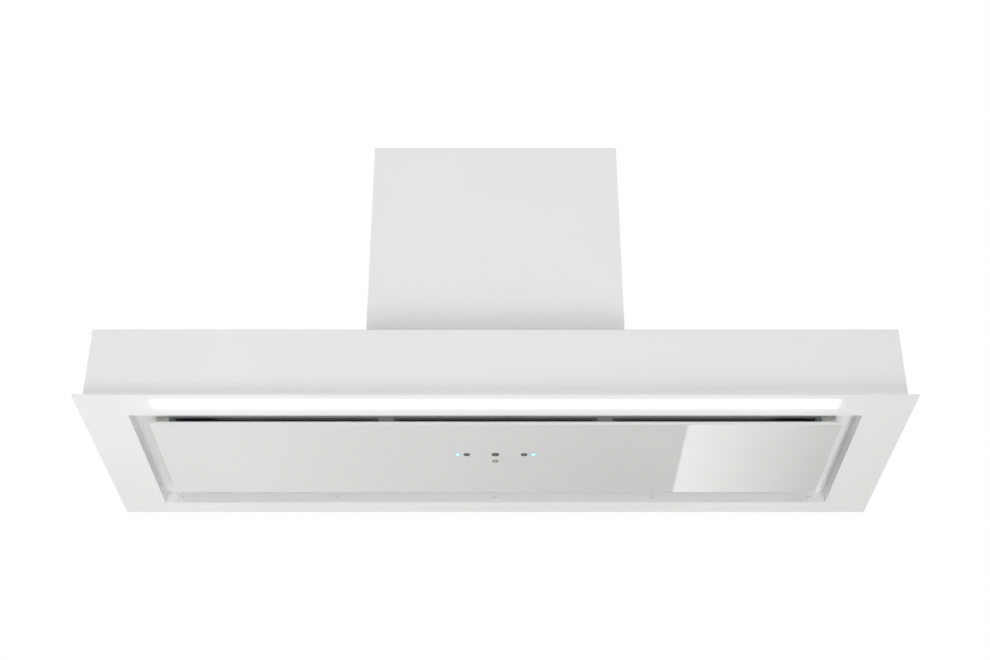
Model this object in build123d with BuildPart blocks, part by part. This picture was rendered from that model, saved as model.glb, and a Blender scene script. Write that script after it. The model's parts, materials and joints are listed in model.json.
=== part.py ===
from build123d import *
from math import acos, cos, degrees, radians, sin
import os

os.makedirs("parts", exist_ok=True)

# Built-in range hood. Millimetres, X to the right, Y to the rear, Z up.
# The origin is the centre of the cut-out, on the flange's seat against the cabinet's underside.

# Sheet metal and play
sheet = 0.8
casing_sheet = 1.0
play = 0.3

# Flange frame
flange_width = 900.0
flange_depth = 300.0
hem_width = 7.5

# Well in the flange, set by the flange's four borders
side_border = 52.0
front_border = 46.5
rear_border = 27.05
well_height = 15.0
well_fold = 0.9

# Screws, pins and the small holes round them are many, so these have few sides instead of true circles
screw_sides = 6
pin_sides = 10
window_sides = 24
screw_radius = 1.75
screw_hole_radius = 1.9
screw_head_radius = 3.0
screw_head_height = 1.4
screw_length = 7.0
well_screw_count = 5
well_screw_inset = 18.0
well_screw_height = 6.2
side_screw_inset = 34.75

# Fixing rails behind the well's walls
rail_sheet = 1.2
rail_foot = 8.0
rail_end_gap = 4.0

# Canopy body, inside the flange's edge
body_end_margin = 10.0
body_margin = 8.0
body_top = 85.0
bend_radius = 1.5
tray_lip = 10.0
cabinet_hole_radius = 2.75
cabinet_hole_pitch = 180.0
cabinet_hole_height = 45.0
cover_screw_inset = 30.0

# Motor box
motor_box_width = 284.0
motor_box_ledge = 10.0
motor_box_top = 340.0
throat_rim = 13.0
foot_flange = 11.0
foot_screw_pitch = 180.0

# Light in the front border
light_end_inset = 82.2
light_inset = 20.0
light_width = 19.0
diffuser_thickness = 3.0
channel_wall = 1.0
channel_height = 14.0
board_thickness = 1.6
board_width = 12.0
chip_pitch = 30.0
chip_size = 3.0
chip_height = 1.2

# Filter openings and filters
opening_side_margin = 42.0
opening_margin = 34.05
opening_bar = 17.0
opening_collar = 9.0
filter_gap = 0.7
filter_height = 9.0
filter_border = 4.5
filter_skin = 1.0
pleat_pitch = 11.0
pleat_skin = 0.7
tab_width = 14.0
tab_pitch = 130.0
tab_thickness = 1.5
tab_reach = 3.0

# Filter latch
latch_width = 30.0
latch_depth = 8.0
latch_height = 5.0
latch_travel = 5.0
latch_pad_wall = 4.0
bolt_width = 20.0
bolt_thickness = 2.4
bolt_reach = 3.2

# Glass panel, inside the well by the width of the air slots
side_slot = 17.0
front_slot = 23.8
rear_slot = 26.8
panel_thickness = 4.0
panel_edge = 0.5
panel_set = 1.5
backing_inset = 7.0
backing_lip = 2.2

# Hinges of the glass panel
hinge_end_inset = 13.0
hinge_inset = 4.7
hinge_lift = 3.7
pin_radius = 1.5
pin_play = 0.1
knuckle_radius = 3.0
knuckle_width = 13.6
ear_radius = 2.6
ear_thickness = 1.5
bracket_depth = 24.0
leaf_length = 30.0
leaf_thickness = 1.0

# Catches of the glass panel
catch_width = 14.0
catch_depth = 20.0
catch_inset = 18.0
strike_thickness = 0.8

# Gesture module and its windows
module_width = 124.0
module_depth = 56.0
module_height = 7.6
module_wall = 1.6
window_row_y = -5.4
light_window_x = 43.0
eye_x = 32.7
pale_window_y = 11.5
small_window_radius = 3.5
eye_window_radius = 4.1
window_recess = 0.6
window_gap = 0.15

# Blower
axis_y = -22.0
axis_z = 205.0
wheel_radius = 67.0
blade_count = 24
blade_thickness = 1.0
blade_root = 56.0
blade_curve = 11.0
blade_arc = 66.0
blade_runs = 2
wheel_half = 46.0
wheel_disc = 2.0
wheel_ring = 3.0
hub_radius = 11.0
hub_half = 9.0
shaft_radius = 4.0
shaft_fit = 0.03
tongue_gap = 9.0
volute_step = 11.4
outlet_throat = 84.0
scroll_half = 53.0
scroll_wall = 2.0
outlet_rise = 98.0
inlet_radius = 52.0
bell_flare = 7.0
bell_slope = 45.0
inlet_sides = 24

# Motor and its mounting
motor_radius = 38.0
motor_sides = 24
motor_gap = 12.0
motor_length = 50.0
motor_bell_radius = 28.0
motor_bell_length = 8.0
spider_thickness = 1.5
spider_ring = 44.0
spider_arm_width = 14.0
bush_circle = 69.0
bush_radius = 6.0
bush_angles = (30.0, 150.0, 270.0)

# Blower hangers
hanger_width = 40.0
hanger_y = -60.0
hanger_drop = 74.0
hanger_foot = 20.0
hanger_sheet = 1.2

# Outlet collar and its flaps
collar_y = 40.0
collar_radius = 75.0
collar_wall = 2.2
collar_height = 40.0
collar_base_radius = 90.0
collar_base = 2.5
collar_screw_circle = 84.5
collar_screw_angles = (0.0, 90.0, 180.0, 270.0)
adapter_mouth = 147.0
adapter_wall = 2.0
ledge_radius = 69.0
ledge_rise = 4.6
flap_gap = 1.2
flap_thickness = 1.2
spindle_radius = 1.5
spindle_play = 0.05
flap_knuckle_radius = 2.8
flap_knuckle_length = 24.0
flap_knuckle_pitch = 50.0

# Electronics
box_width = 130.0
box_depth = 140.0
box_height = 38.0
box_wall = 2.0
box_end_gap = 17.0
box_screw_inset = 12.0
lid_thickness = 2.0
capacitor_radius = 16.0
capacitor_sides = 24
capacitor_length = 66.0
capacitor_gap = 14.0
clip_width = 14.0
clip_sheet = 1.0
clip_foot = 10.0
gland_inset = 30.0
gland_rear_inset = 36.0
gland_hex = 12.0
gland_height = 6.0
gland_cap_radius = 10.0
gland_cap_height = 9.0
gland_ribs = 12
gland_bore = 4.0
gland_thread_radius = 8.0
gland_thread_bore = 5.5

# Levels and places that follow from the sizes above
underside = -2 * sheet
plate_top = -sheet
floor_low = underside + well_height
floor_top = floor_low + sheet
well_width = flange_width - 2 * side_border
well_depth = flange_depth - front_border - rear_border
well_y = (front_border - rear_border) / 2
well_front = well_y - well_depth / 2
well_rear = well_y + well_depth / 2
well_screw_pitch = (well_width - 2 * well_screw_inset) / (well_screw_count - 1)
side_screw_pitch = well_depth - 2 * side_screw_inset
well_screw_z = underside + well_screw_height
body_width = flange_width - 2 * body_end_margin
body_depth = flange_depth - 2 * body_margin
motor_box_depth = body_depth - 2 * motor_box_ledge
light_length = flange_width - 2 * light_end_inset
light_y = light_inset - flange_depth / 2
chip_count = int(light_length // chip_pitch)
opening_width = (well_width - 2 * opening_side_margin - 2 * opening_bar) / 3
opening_depth = well_depth - 2 * opening_margin
opening_pitch = opening_width + opening_bar
panel_width = well_width - 2 * side_slot
panel_depth = well_depth - front_slot - rear_slot
panel_y = well_y + (front_slot - rear_slot) / 2
body_ceiling = body_top - casing_sheet
box_ceiling = motor_box_top - casing_sheet
throat_width = motor_box_width - 2 * throat_rim
throat_depth = motor_box_depth - 2 * throat_rim
filter_width = opening_width - 2 * filter_gap
filter_depth = opening_depth - 2 * filter_gap
filter_top = floor_low + filter_height
panel_low = underside + panel_set
panel_back = panel_low + panel_thickness
backing_top = panel_back + sheet
hinge_x = panel_width / 2 - hinge_end_inset
hinge_y = panel_y + panel_depth / 2 - hinge_inset
hinge_z = panel_back + hinge_lift
scroll_side = scroll_half + scroll_wall
outlet_top = axis_z + outlet_rise + scroll_wall
collar_low = motor_box_top
gland_x = gland_inset - motor_box_width / 2
gland_y = motor_box_depth / 2 - gland_rear_inset
collar_tube_low = collar_low + collar_base
ledge_top = collar_tube_low + ledge_rise
flap_low = ledge_top + play
spindle_z = flap_low + flap_knuckle_radius
spindle_half = collar_radius - collar_wall / 2

wheel_plane = Plane(origin=(0, axis_y, axis_z), x_dir=(0, 1, 0), z_dir=(1, 0, 0))
sides = {"left": -1, "right": 1}


def save(piece, name):
    """Labels a finished piece and writes it under its node's name."""
    piece.part.label = name
    export_step(piece.part, f"parts/{name}.step")


def pan_screw(length):
    """A pan head screw on the Z axis: seat at z = 0, head above it, shank below."""
    with BuildPart() as screw:
        with BuildSketch():
            RegularPolygon(screw_head_radius, screw_sides)
        extrude(amount=screw_head_height)
        with BuildSketch():
            RegularPolygon(screw_radius, screw_sides)
        extrude(amount=-length)
    return screw.part


def drill(planes, radius, depth):
    """Drills a screw's hole into the part being built, down through each plane."""
    for plane in planes:
        with BuildSketch(plane) as hole:
            RegularPolygon(radius, screw_sides, major_radius=False)
        extrude(hole.sketch, amount=-depth, mode=Mode.SUBTRACT)


def arch_filling(width, depth, low, high):
    """The solid that just fills an arch, with its top edges rounded like the arch's inside."""
    with BuildPart() as filling:
        with BuildSketch(Plane.YZ.offset(-width / 2)):
            with Locations((0, (low + high - casing_sheet) / 2)):
                Rectangle(depth - 2 * casing_sheet, high - low - casing_sheet)
        extrude(amount=width)
        fillet(filling.edges().filter_by(Axis.X).group_by(Axis.Z)[-1], bend_radius - casing_sheet)
    return filling.part


def arch(width, depth, low, high):
    """A sheet folded twice: front wall, top and rear wall, each end left open."""
    with BuildPart() as sheet_arch:
        with BuildSketch(Plane.YZ.offset(-width / 2)):
            with Locations((0, (low + high) / 2)):
                Rectangle(depth, high - low)
        extrude(amount=width)
        fillet(sheet_arch.edges().filter_by(Axis.X).group_by(Axis.Z)[-1], bend_radius)
        add(arch_filling(width, depth, low, high), mode=Mode.SUBTRACT)
    return sheet_arch.part


def cover_screw_planes(width, depth, low, high, side):
    """Planes on the outside of an arch, one at each screw of an end cover: two on top, one behind."""
    lip_x = side * (width / 2 - casing_sheet - tray_lip / 2)
    reach_y = depth / 2 - cover_screw_inset
    on_top = [Plane.XY.offset(high).move(Location((lip_x, y, 0))) for y in (-reach_y, reach_y)]
    return [*on_top, Plane(origin=(lip_x, depth / 2, (low + high) / 2), z_dir=(0, 1, 0))]


# Screws that hold the well to its rails: five in the front and rear walls, two in each side wall
well_screw_planes = [
    Plane(origin=((i - (well_screw_count - 1) / 2) * well_screw_pitch, wall_y, well_screw_z),
          z_dir=(0, inward, 0))
    for wall_y, inward in ((well_front, 1), (well_rear, -1))
    for i in range(well_screw_count)
] + [
    Plane(origin=(side * well_width / 2, well_y + half * side_screw_pitch / 2, well_screw_z),
          z_dir=(-side, 0, 0))
    for side in sides.values()
    for half in (-1, 1)
]

# Flange frame: hemmed plate with the well's walls turned up and the light's slot
with BuildPart() as flange_frame:
    with BuildSketch(Plane.XY.offset(underside)):
        Rectangle(flange_width, flange_depth)
    extrude(amount=sheet)
    with BuildSketch(Plane.XY.offset(plate_top)):
        Rectangle(flange_width, flange_depth)
        Rectangle(flange_width - 2 * hem_width, flange_depth - 2 * hem_width, mode=Mode.SUBTRACT)
    extrude(amount=sheet)
    with BuildSketch(Plane.XY.offset(underside)):
        with Locations((0, well_y)):
            Rectangle(well_width + 2 * sheet, well_depth + 2 * sheet)
    extrude(amount=well_height)
    with BuildSketch(Plane.XY.offset(underside)):
        with Locations((0, well_y)):
            Rectangle(well_width, well_depth)
    extrude(amount=well_height, mode=Mode.SUBTRACT)
    mouth = flange_frame.edges().group_by(Axis.Z)[0].filter_by_position(
        Axis.Y, well_front - play, well_rear + play
    ).filter_by_position(Axis.X, -well_width / 2 - play, well_width / 2 + play)
    fillet(mouth, well_fold)
    with BuildSketch(Plane.XY.offset(underside)):
        with Locations((0, light_y)):
            Rectangle(light_length + 2 * play, light_width + play)
    extrude(amount=2 * sheet, mode=Mode.SUBTRACT)
    drill(well_screw_planes, screw_hole_radius, 2 * sheet)
save(flange_frame, "flange_frame")

with BuildPart() as well_screws:
    with Locations(*well_screw_planes):
        add(pan_screw(screw_length))
save(well_screws, "well_screws")


def fixing_rail(corner, outward, length):
    """An angle rail on the flange: foot on the plate, leg against the outside of a well wall.

    corner is the foot of the leg at the rail's middle, outward the way from the well to the casing.
    """
    along = Vector(outward[1], -outward[0], 0)
    section = Plane(origin=Vector(*corner) - along * (length / 2), x_dir=outward, z_dir=along)
    with BuildPart() as rail:
        with BuildSketch(section):
            with BuildLine():
                Polyline(
                    (0, 0),
                    (rail_foot, 0),
                    (rail_foot, rail_sheet),
                    (rail_sheet, rail_sheet),
                    (rail_sheet, floor_low - plate_top),
                    (0, floor_low - plate_top),
                    close=True,
                )
            make_face()
        extrude(amount=length)
        drill(well_screw_planes, screw_hole_radius, screw_length)
    return rail


rail_half_x = well_width / 2 + sheet
rails = {
    "fixing_rail_front": ((0, well_front - sheet, plate_top), (0, -1, 0), well_width - 2 * rail_end_gap),
    "fixing_rail_rear": ((0, well_rear + sheet, plate_top), (0, 1, 0), well_width - 2 * rail_end_gap),
    "fixing_rail_left": ((-rail_half_x, well_y, plate_top), (-1, 0, 0), well_depth - 2 * rail_end_gap),
    "fixing_rail_right": ((rail_half_x, well_y, plate_top), (1, 0, 0), well_depth - 2 * rail_end_gap),
}
for rail_name, place in rails.items():
    save(fixing_rail(*place), rail_name)

# Well floor: plate on the well's walls, with a turned-up collar round each filter opening
opening_centres = {"left": -opening_pitch, "centre": 0.0, "right": opening_pitch}
collar_top = floor_low + opening_collar
bolt_z = floor_low + filter_skin + latch_height / 2
tab_z = filter_top - filter_skin - tab_thickness
front_collar_y = well_y - opening_depth / 2 - sheet
rear_collar_y = well_y + opening_depth / 2
with BuildPart() as well_floor:
    with BuildSketch(Plane.XY.offset(floor_low)):
        with Locations((0, well_y)):
            Rectangle(well_width + 2 * sheet, well_depth + 2 * sheet)
    extrude(amount=sheet)
    opening_places = [(x, well_y) for x in opening_centres.values()]
    with BuildSketch(Plane.XY.offset(floor_low)):
        with Locations(*opening_places):
            Rectangle(opening_width + 2 * sheet, opening_depth + 2 * sheet)
    extrude(amount=opening_collar)
    with BuildSketch(Plane.XY.offset(floor_low)):
        with Locations(*opening_places):
            Rectangle(opening_width, opening_depth)
    extrude(amount=opening_collar, mode=Mode.SUBTRACT)
    for x in opening_centres.values():
        with BuildSketch(Plane.XZ.offset(-rear_collar_y)):
            with Locations((x, bolt_z)):
                Rectangle(bolt_width + 2 * play, bolt_thickness + 2 * play)
        extrude(amount=-sheet, mode=Mode.SUBTRACT)
        with BuildSketch(Plane.XZ.offset(-front_collar_y)):
            with Locations((x - tab_pitch / 2, tab_z + tab_thickness / 2),
                           (x + tab_pitch / 2, tab_z + tab_thickness / 2)):
                Rectangle(tab_width + 2 * play, tab_thickness + 2 * play)
        extrude(amount=-sheet, mode=Mode.SUBTRACT)
save(well_floor, "well_floor")

# Grease filters: a C-section frame with hooks in front and a latch pad at the rear, and a pleated pack
latch_rear = well_y + filter_depth / 2 - filter_skin - play
latch_y = latch_rear - latch_depth / 2
pocket_length = latch_depth + latch_travel + 2 * play
pad_width = latch_width + 2 * latch_pad_wall
pad_depth = pocket_length + latch_pad_wall
pocket_rear = well_y + filter_depth / 2 - filter_skin
window_width = filter_width - 2 * filter_border
window_depth = filter_depth - 2 * filter_border


def filter_frame(x):
    """The frame of the filter whose middle is at x."""
    with BuildPart() as frame:
        with BuildSketch(Plane.XY.offset(floor_low)):
            with Locations((x, well_y)):
                Rectangle(filter_width, filter_depth)
        extrude(amount=filter_height)
        with BuildSketch(Plane.XY.offset(floor_low)):
            with Locations((x, well_y)):
                Rectangle(window_width, window_depth)
        extrude(amount=filter_height, mode=Mode.SUBTRACT)
        with BuildSketch(Plane.XY.offset(floor_low + filter_skin)):
            with Locations((x, well_y)):
                Rectangle(filter_width - 2 * filter_skin, filter_depth - 2 * filter_skin)
        extrude(amount=filter_height - 2 * filter_skin, mode=Mode.SUBTRACT)
        with BuildSketch(Plane.XY.offset(floor_low)):
            with Locations((x, pocket_rear - pad_depth / 2)):
                Rectangle(pad_width, pad_depth)
        extrude(amount=filter_height)
        with BuildSketch(Plane.XY.offset(floor_low)):
            with Locations((x, pocket_rear - pocket_length / 2)):
                Rectangle(latch_width + 2 * play, pocket_length)
        extrude(amount=filter_skin + latch_height + play, mode=Mode.SUBTRACT)
        with BuildSketch(Plane.XZ.offset(-pocket_rear)):
            with Locations((x, bolt_z)):
                Rectangle(bolt_width + 2 * play, bolt_thickness + 2 * play)
        extrude(amount=-filter_skin, mode=Mode.SUBTRACT)
        with BuildSketch(Plane.XY.offset(tab_z)):
            with Locations((x - tab_pitch / 2, well_y - filter_depth / 2 - tab_reach / 2),
                           (x + tab_pitch / 2, well_y - filter_depth / 2 - tab_reach / 2)):
                Rectangle(tab_width, tab_reach)
        extrude(amount=tab_thickness)
    return frame


pack_height = filter_height - 2 * filter_skin - play
pack_low = floor_low + filter_skin + play / 2
pack_width = filter_width - 2 * filter_skin - 2 * play
pack_front = well_y - filter_depth / 2 + filter_skin + play
pack_rear = pocket_rear - pad_depth - play
pleat_count = int((pack_rear - pack_front) // pleat_pitch)


def filter_pack(x):
    """The pleated aluminium mesh of the filter at x: folds that run along X."""
    lower = [(pack_front + i * pleat_pitch / 2, pack_low + (i % 2) * (pack_height - pleat_skin))
             for i in range(2 * pleat_count + 1)]
    upper = [(y, z + pleat_skin) for y, z in reversed(lower)]
    with BuildPart() as pack:
        with BuildSketch(Plane.YZ.offset(x - pack_width / 2)):
            with BuildLine():
                Polyline(*lower, *upper, close=True)
            make_face()
        extrude(amount=pack_width)
    return pack


def filter_latch(x):
    """The sprung latch of the filter at x: a slider with a finger groove and a flat bolt."""
    with BuildPart() as latch:
        with BuildSketch(Plane.XY.offset(floor_low + filter_skin)):
            with Locations((x, latch_y)):
                Rectangle(latch_width, latch_depth)
        extrude(amount=latch_height)
        with BuildSketch(Plane.XY.offset(floor_low + filter_skin)):
            with Locations((x, latch_y)):
                Rectangle(latch_width - latch_depth / 2, latch_depth / 2)
        extrude(amount=latch_height / 2, mode=Mode.SUBTRACT)
        with BuildSketch(Plane.XY.offset(bolt_z - bolt_thickness / 2)):
            with Locations((x, latch_rear + (bolt_reach + filter_skin + play) / 2)):
                Rectangle(bolt_width, bolt_reach + filter_skin + play)
        extrude(amount=bolt_thickness)
    return latch


for place_name, centre in opening_centres.items():
    save(filter_frame(centre), f"filter_frame_{place_name}")
    save(filter_pack(centre), f"filter_mesh_{place_name}")
    save(filter_latch(centre), f"filter_latch_{place_name}")

# Light: opal diffuser in the slot, aluminium channel over it, board with its light points
channel_half = light_width / 2 + play
with BuildPart() as light_diffuser:
    with BuildSketch(Plane.XY.offset(underside)):
        with Locations((0, light_y)):
            Rectangle(light_length, light_width - play)
    extrude(amount=diffuser_thickness)
save(light_diffuser, "light_diffuser")

with BuildPart() as light_channel:
    with BuildSketch(Plane.YZ.offset(-light_length / 2 - play)):
        with Locations((light_y, plate_top + channel_height / 2)):
            Rectangle(2 * (channel_half + channel_wall), channel_height)
        with Locations((light_y, plate_top + (channel_height - channel_wall) / 2)):
            Rectangle(2 * channel_half, channel_height - channel_wall, mode=Mode.SUBTRACT)
    extrude(amount=light_length + 2 * play)
save(light_channel, "light_channel")

board_low = plate_top + channel_height - channel_wall - board_thickness
with BuildPart() as light_board:
    with BuildSketch(Plane.XY.offset(board_low)):
        with Locations((0, light_y)):
            Rectangle(light_length, board_width)
    extrude(amount=board_thickness)
save(light_board, "light_board")

with BuildPart() as light_points:
    with BuildSketch(Plane.XY.offset(board_low)):
        with Locations((0, light_y)):
            with GridLocations(chip_pitch, 0, chip_count, 1):
                Rectangle(chip_size, chip_size)
    extrude(amount=-chip_height)
save(light_points, "light_points")

# Screws through the body's top, for the electronics box and the capacitor's clip
box_low = body_ceiling - box_height
box_x = box_end_gap + (box_width - body_width) / 2
capacitor_x = box_x + box_width / 2 + capacitor_gap + capacitor_radius
clip_inner = capacitor_radius + play
box_screw_x = box_width / 2 - box_screw_inset
box_screw_y = box_depth / 2 - box_screw_inset
clip_screw_x = clip_inner + clip_sheet + clip_foot / 2
fitting_screw_planes = [
    Plane.XY.offset(body_top).move(Location((x, y, 0)))
    for x, y in (
        (box_x - box_screw_x, -box_screw_y),
        (box_x + box_screw_x, -box_screw_y),
        (box_x - box_screw_x, box_screw_y),
        (box_x + box_screw_x, box_screw_y),
        (capacitor_x - clip_screw_x, 0),
        (capacitor_x + clip_screw_x, 0),
    )
]

# Canopy body: folded sheet over the flange, and its two end covers
with BuildPart() as body_shell:
    add(arch(body_width, body_depth, plate_top, body_top))
    for side in sides.values():
        drill(cover_screw_planes(body_width, body_depth, plate_top, body_top, side),
              screw_hole_radius, casing_sheet)
    with BuildSketch(Plane.XY.offset(body_ceiling)):
        Rectangle(throat_width, throat_depth)
    extrude(amount=casing_sheet, mode=Mode.SUBTRACT)
    foot_y = motor_box_depth / 2 - casing_sheet - foot_flange / 2
    foot_screw_planes = [
        Plane.XY.offset(body_top + casing_sheet).move(Location((x, y, 0)))
        for x in (-foot_screw_pitch / 2, foot_screw_pitch / 2)
        for y in (-foot_y, foot_y)
    ]
    drill([*foot_screw_planes, *fitting_screw_planes], screw_hole_radius, 2 * casing_sheet)
save(body_shell, "body_shell")


def end_cover(width, depth, low, high, side):
    """A shallow tray that closes one end of an arch: its lips lie inside the arch's walls."""
    inner_x = side * (width / 2 - casing_sheet)
    with BuildPart() as cover:
        add(arch_filling(width, depth, low, high))
        with BuildSketch(Plane.YZ.offset(inner_x)):
            with Locations((0, (low + high) / 2 - casing_sheet)):
                Rectangle(depth - 4 * casing_sheet, high - low - 2 * casing_sheet)
        extrude(amount=-side * width, mode=Mode.SUBTRACT)
        with BuildSketch(Plane.YZ.offset(inner_x - side * tray_lip)):
            with Locations((0, (low + high) / 2)):
                Rectangle(depth, high - low)
        extrude(amount=-side * width, mode=Mode.SUBTRACT)
        drill(cover_screw_planes(width, depth, low, high, side), screw_hole_radius, 2 * casing_sheet)
    return cover


for side_name, side in sides.items():
    with BuildPart() as body_side:
        add(end_cover(body_width, body_depth, plate_top, body_top, side).part)
        with BuildSketch(Plane.YZ.offset(side * body_width / 2)):
            with Locations((-cabinet_hole_pitch / 2, cabinet_hole_height),
                           (cabinet_hole_pitch / 2, cabinet_hole_height)):
                Circle(cabinet_hole_radius)
        extrude(amount=-side * casing_sheet, mode=Mode.SUBTRACT)
    save(body_side, f"body_side_{side_name}")

# Screws through the motor box's top, for the blower hangers and the outlet collar
hanger_screw_x = scroll_side + hanger_sheet + hanger_foot / 2
hanger_screw_y = (hanger_y - hanger_width / 4, hanger_y + hanger_width / 4)
hanger_screw_planes = [
    Plane.XY.offset(motor_box_top).move(Location((side * hanger_screw_x, y, 0)))
    for side in sides.values()
    for y in hanger_screw_y
]
collar_screw_planes = [
    Plane.XY.offset(collar_tube_low).move(
        Location((collar_screw_circle * cos(radians(a)), collar_y + collar_screw_circle * sin(radians(a)), 0))
    )
    for a in collar_screw_angles
]

# Motor box: folded sheet on the body's rim, and its end covers
with BuildPart() as motor_box_shell:
    add(arch(motor_box_width, motor_box_depth, body_top, motor_box_top))
    for side in sides.values():
        drill(cover_screw_planes(motor_box_width, motor_box_depth, body_top, motor_box_top, side),
              screw_hole_radius, casing_sheet)
    with BuildSketch(Plane.XY.offset(body_top)):
        with Locations((0, -foot_y), (0, foot_y)):
            Rectangle(motor_box_width - 2 * throat_rim, foot_flange)
    extrude(amount=casing_sheet)
    drill(foot_screw_planes, screw_hole_radius, casing_sheet)
    with BuildSketch(Plane.XY.offset(box_ceiling)):
        with Locations((0, collar_y)):
            Circle(collar_radius - collar_wall)
        with Locations((gland_x, gland_y)):
            RegularPolygon(gland_thread_radius + play, gland_ribs)
    extrude(amount=casing_sheet, mode=Mode.SUBTRACT)
    drill([*hanger_screw_planes, *collar_screw_planes], screw_hole_radius, collar_base + casing_sheet)
save(motor_box_shell, "motor_box_shell")

for side_name, side in sides.items():
    save(end_cover(motor_box_width, motor_box_depth, body_top, motor_box_top, side),
         f"motor_box_side_{side_name}")

# Glass panel with its six drilled windows
light_windows = [(-light_window_x, window_row_y), (light_window_x, window_row_y)]
small_eyes = [(-eye_x, window_row_y), (eye_x, window_row_y)]
main_eye = [(0, window_row_y)]
pale_place = [(0, pale_window_y)]
with BuildPart() as glass_panel:
    with BuildSketch(Plane.XY.offset(panel_low)):
        with Locations((0, panel_y)):
            Rectangle(panel_width, panel_depth)
    extrude(amount=panel_thickness)
    chamfer(glass_panel.edges().group_by(Axis.Z)[0], panel_edge)
    chamfer(glass_panel.edges().group_by(Axis.Z)[-1], panel_edge)
    with BuildSketch(Plane.XY.offset(panel_low)):
        with Locations(*light_windows, *small_eyes, *pale_place):
            RegularPolygon(small_window_radius, window_sides)
        with Locations(*main_eye):
            RegularPolygon(eye_window_radius, window_sides)
    extrude(amount=panel_thickness, mode=Mode.SUBTRACT)
save(glass_panel, "glass_panel")

# Steel backing bonded to the glass, its long edges turned up, open over the gesture module
backing_width = panel_width - 2 * backing_inset
backing_depth = panel_depth - 2 * backing_inset
with BuildPart() as panel_backing:
    with BuildSketch(Plane.XY.offset(panel_back)):
        with Locations((0, panel_y)):
            Rectangle(backing_width, backing_depth)
        with Locations((0, window_row_y)):
            Rectangle(module_width + 2 * play, module_depth + 2 * play, mode=Mode.SUBTRACT)
    extrude(amount=sheet)
    lip_y = backing_depth / 2 - sheet / 2
    lip_width = 2 * (hinge_x - bracket_depth)
    with BuildSketch(Plane.XY.offset(backing_top)):
        with Locations((0, panel_y - lip_y), (0, panel_y + lip_y)):
            Rectangle(lip_width, sheet)
    extrude(amount=backing_lip)
save(panel_backing, "panel_backing")

# Gesture module: housing and cover on the back of the glass
with BuildPart() as module_housing:
    with BuildSketch(Plane.XY.offset(panel_back)):
        with Locations((0, window_row_y)):
            Rectangle(module_width, module_depth)
    extrude(amount=module_height - module_wall)
    chamfer(module_housing.edges().filter_by(Axis.Z), module_wall)
    with BuildSketch(Plane.XY.offset(panel_back + module_wall)):
        with Locations((0, window_row_y)):
            Rectangle(module_width - 2 * module_wall, module_depth - 2 * module_wall)
    extrude(amount=module_height, mode=Mode.SUBTRACT)
save(module_housing, "module_housing")

with BuildPart() as module_cover:
    with BuildSketch(Plane.XY.offset(panel_back + module_height - module_wall)):
        with Locations((0, window_row_y)):
            Rectangle(module_width, module_depth)
    extrude(amount=module_wall)
    chamfer(module_cover.edges().filter_by(Axis.Z), module_wall)
save(module_cover, "module_cover")


def window_plugs(places, radius):
    """Round windows that fill the drilled holes, set back a little from the glass's front."""
    with BuildPart() as plugs:
        with BuildSketch(Plane.XY.offset(panel_low + window_recess)):
            with Locations(*places):
                RegularPolygon(radius - window_gap, window_sides)
        extrude(amount=panel_thickness - window_recess)
    return plugs


save(window_plugs(light_windows, small_window_radius), "status_lights")
save(window_plugs(small_eyes, small_window_radius), "side_eyes")
save(window_plugs(main_eye, eye_window_radius), "main_eye")
save(window_plugs(pale_place, small_window_radius), "pale_window")

# Hinges of the glass panel: bracket with two ears on the well floor, leaf on the backing, pin between
hinge_plane = Plane.YZ
ear_offset = knuckle_width / 2 + play + ear_thickness / 2
ear_bore = pin_radius + pin_play / 2
bracket_width = 2 * ear_offset + ear_thickness
with BuildPart() as hinge_brackets:
    for side in sides.values():
        with BuildSketch(Plane.XY.offset(floor_low - leaf_thickness)):
            with Locations((side * hinge_x, hinge_y + bracket_depth / 2 - ear_radius)):
                Rectangle(bracket_width, bracket_depth)
        extrude(amount=leaf_thickness)
        for ear in (-1, 1):
            ear_x = side * hinge_x + ear * ear_offset
            with BuildSketch(hinge_plane.offset(ear_x - ear_thickness / 2)):
                with Locations((hinge_y, hinge_z)):
                    RegularPolygon(ear_radius, pin_sides)
                with Locations((hinge_y, (hinge_z + floor_low - leaf_thickness) / 2)):
                    Rectangle(2 * ear_radius, floor_low - leaf_thickness - hinge_z)
                with Locations((hinge_y, hinge_z)):
                    RegularPolygon(ear_bore, pin_sides, major_radius=False, mode=Mode.SUBTRACT)
            extrude(amount=ear_thickness)
save(hinge_brackets, "hinge_brackets")

with BuildPart() as hinge_pins:
    for side in sides.values():
        with BuildSketch(hinge_plane.offset(side * hinge_x - bracket_width / 2)):
            with Locations((hinge_y, hinge_z)):
                RegularPolygon(pin_radius, pin_sides)
        extrude(amount=bracket_width)
save(hinge_pins, "hinge_pins")

with BuildPart() as hinge_leaves:
    for side in sides.values():
        with BuildSketch(hinge_plane.offset(side * hinge_x - knuckle_width / 2)):
            with Locations((hinge_y, hinge_z)):
                RegularPolygon(knuckle_radius, pin_sides)
            with Locations((hinge_y - leaf_length / 2, backing_top + leaf_thickness / 2)):
                Rectangle(leaf_length, leaf_thickness)
            with Locations((hinge_y - knuckle_radius / 2, (backing_top + hinge_z) / 2)):
                Rectangle(knuckle_radius, hinge_z - backing_top)
            with Locations((hinge_y, hinge_z)):
                RegularPolygon(pin_radius + pin_play, pin_sides, major_radius=False, mode=Mode.SUBTRACT)
        extrude(amount=knuckle_width)
save(hinge_leaves, "hinge_leaves")

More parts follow.
